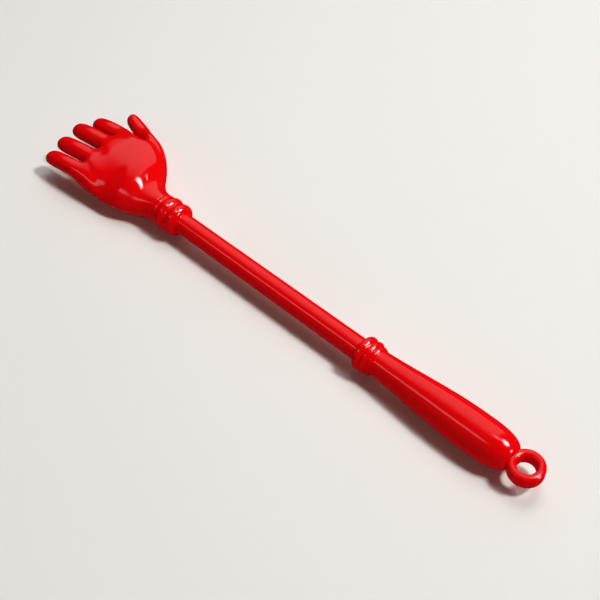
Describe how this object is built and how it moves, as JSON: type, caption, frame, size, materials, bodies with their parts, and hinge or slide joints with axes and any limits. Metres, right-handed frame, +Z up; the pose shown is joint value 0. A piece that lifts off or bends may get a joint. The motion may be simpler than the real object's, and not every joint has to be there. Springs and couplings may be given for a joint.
{
  "type": "back scratcher",
  "caption": "Back scratcher of glossy moulded plastic: a small open hand on a beaded wrist collar, a slim round shaft, a grip collar, a club-shaped grip and a hanging ring.",
  "frame": {"origin": "on the table plane, below the centre of the object's box as it lies", "axes": "+X along the handle from the hand to the hanging ring, +Y to the thumb's side, +Z up from the table"},
  "size_m": [0.3432, 0.0616, 0.025],
  "materials": {
    "red_plastic": "polished, high gloss"
  },
  "bodies": {
    "root": {"hand": "red_plastic", "wrist_collar": "red_plastic", "shaft": "red_plastic", "grip_collar": "red_plastic", "grip": "red_plastic", "hanging_ring": "red_plastic"}
  },
  "joints": []
}
